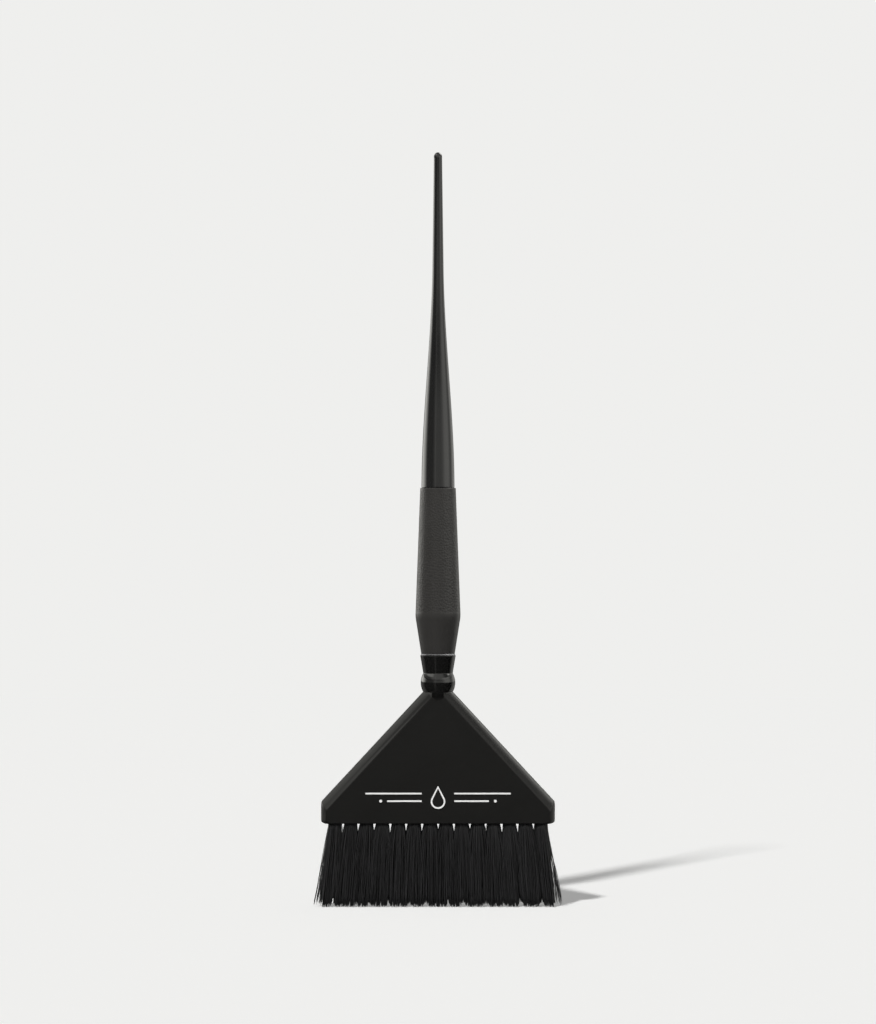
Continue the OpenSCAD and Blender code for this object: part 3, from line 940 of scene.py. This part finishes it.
def soft_box_material():
    """Light of all the soft boxes, by the place on their ring."""
    material, add = bare_material("soft_boxes")

    def rising(value, start, end):
        # With start above end it falls instead
        return add("ShaderNodeMapRange", {"Value": value, "From Min": start, "From Max": end},
                   interpolation_type="SMOOTHSTEP").outputs["Result"]

    def product(a, b):
        return add("ShaderNodeMath", {0: a, 1: b}, operation="MULTIPLY").outputs[0]

    spot = add("ShaderNodeTexCoord").outputs["Object"]
    flat = add("ShaderNodeVectorMath", {0: spot, 1: (1, 1, 0)}, operation="MULTIPLY").outputs[0]
    facing = add("ShaderNodeVectorMath", {0: flat}, operation="NORMALIZE").outputs[0]
    height = add("ShaderNodeSeparateXYZ", {0: spot}).outputs["Z"]
    total = 0.0
    for middle, width, side_soft, low, high, edge_soft, level in SOFT_BOXES.values():
        turned = math.radians(middle)
        along = add("ShaderNodeVectorMath",
                    {0: facing, 1: (math.sin(turned), -math.cos(turned), 0)},
                    operation="DOT_PRODUCT").outputs["Value"]
        away = add("ShaderNodeMath", {0: along}, operation="ARCCOSINE").outputs[0]
        inner, outer = (math.radians((width + k * side_soft) / 2) for k in (-1, 1))
        round_share = rising(away, outer, inner)
        low_share = rising(height, low - edge_soft / 2, low + edge_soft / 2)
        high_share = rising(height, high + edge_soft / 2, high - edge_soft / 2)
        box = product(product(round_share, low_share), high_share)
        total = add("ShaderNodeMath", {0: box, 1: level, 2: total},
                    operation="MULTIPLY_ADD").outputs[0]
    glow = add("ShaderNodeEmission", {"Color": (*BOX_TINT, 1), "Strength": total})
    add("ShaderNodeOutputMaterial", {"Surface": glow.outputs[0]})
    return material


def make_box_ring():
    """The ring that carries the soft boxes."""
    count = BOX_RING_SEGMENTS
    turns = np.linspace(0, 2 * math.pi, count, endpoint=False)
    rims = [(BOX_RING_R * math.cos(a), BOX_RING_R * math.sin(a), z)
            for z in (BOX_RING_LOW, BOX_RING_HIGH) for a in turns]
    mesh = bpy.data.meshes.new("soft_boxes")
    mesh.from_pydata(rims, [], [(i, (i + 1) % count, count + (i + 1) % count, count + i)
                                for i in range(count)])
    mesh.materials.append(soft_box_material())
    ring = bpy.data.objects.new("soft_boxes", mesh)
    ring.visible_camera = ring.visible_diffuse = ring.visible_shadow = False
    ring.visible_transmission = ring.visible_volume_scatter = False
    bpy.context.scene.collection.objects.link(ring)


def make_studio():
    """Soft boxes and a sky for the reflections, and two lamps that do the lighting."""
    world = bpy.data.worlds.new("studio")
    bpy.context.scene.world = world
    world.use_nodes = True
    world.cycles_visibility.diffuse = False
    world.node_tree.nodes["Background"].inputs["Strength"].default_value = SKY_LEVEL
    make_box_ring()
    for name, strength, width, round_deg, up_deg in LAMPS:
        lamp = bpy.data.lights.new(name, "SUN")
        lamp.energy = strength
        lamp.angle = math.radians(width)
        holder = bpy.data.objects.new(name, lamp)
        turned, up = math.radians(round_deg), math.radians(up_deg)
        towards = Vector((-math.sin(turned) * math.cos(up), math.cos(turned) * math.cos(up),
                          -math.sin(up)))
        holder.rotation_euler = towards.to_track_quat("-Z", "Y").to_euler()
        holder.visible_glossy = False
        bpy.context.scene.collection.objects.link(holder)


# ---- Stage ----------------------------------------------------------------------------------

STAGE_TINT = (1.0, 1.0, 0.985)
BACKDROP = 0.862
FLOOR_GLOW = 0.285
FLOOR_TONE = 0.8
# Metres from the brush between which the floor turns into the backdrop
FADE_START, FADE_END = 0.7, 1.7
STAGE_R, FLOOR_SEGMENTS = 6.0, 64
DOME_SHARE, DOME_SEGMENTS, DOME_RINGS = 0.98, 48, 24


def stage_material(name, lit):
    """Pale stage surface. A lit one takes light and shadow near the object and glows evenly
    like the backdrop further out, so no horizon shows."""
    material, add = bare_material(name)
    colour = (*STAGE_TINT, 1)
    result = add("ShaderNodeEmission", {"Color": colour, "Strength": BACKDROP}).outputs[0]
    if lit:
        tone = (*times(FLOOR_TONE, STAGE_TINT), 1)
        near = add("ShaderNodeAddShader", {
            0: add("ShaderNodeEmission", {"Color": colour, "Strength": FLOOR_GLOW}).outputs[0],
            1: add("ShaderNodeBsdfDiffuse", {"Color": tone}).outputs[0]})
        spot = add("ShaderNodeTexCoord").outputs["Object"]
        away = add("ShaderNodeVectorMath", {0: spot}, operation="LENGTH").outputs["Value"]
        far = add("ShaderNodeMapRange", {"Value": away, "From Min": FADE_START,
                                         "From Max": FADE_END}).outputs["Result"]
        result = add("ShaderNodeMixShader",
                     {0: far, 1: near.outputs[0], 2: result}).outputs[0]
    add("ShaderNodeOutputMaterial", {"Surface": result})
    return material


def make_stage():
    """Pale floor, and a pale backdrop all round that only the camera sees."""
    floor_mesh = bpy.data.meshes.new("floor")
    rim = [(STAGE_R * math.cos(a), STAGE_R * math.sin(a), 0)
           for a in np.linspace(0, 2 * math.pi, FLOOR_SEGMENTS, endpoint=False)]
    floor_mesh.from_pydata(rim, [], [tuple(range(FLOOR_SEGMENTS))])
    floor_mesh.materials.append(stage_material("floor", lit=True))
    floor = bpy.data.objects.new("floor", floor_mesh)
    floor.visible_glossy = False

    work = bmesh.new()
    bmesh.ops.create_uvsphere(work, u_segments=DOME_SEGMENTS, v_segments=DOME_RINGS,
                              radius=STAGE_R * DOME_SHARE)
    dome_mesh = bpy.data.meshes.new("backdrop")
    work.to_mesh(dome_mesh)
    work.free()
    dome_mesh.materials.append(stage_material("backdrop", lit=False))
    dome = bpy.data.objects.new("backdrop", dome_mesh)
    dome.visible_diffuse = dome.visible_glossy = dome.visible_transmission = False
    dome.visible_shadow = dome.visible_volume_scatter = False
    for part in (floor, dome):
        bpy.context.scene.collection.objects.link(part)


# ---- Build ----------------------------------------------------------------------------------

bpy.context.scene.view_settings.view_transform = "Standard"
make_camera()
make_tail()
make_grip()
make_ring()
make_neck()
make_head()
dress("printed_mark", print_ink)
dress("anchor_staples", staple_wire)
make_bristles()
make_studio()
make_stage()
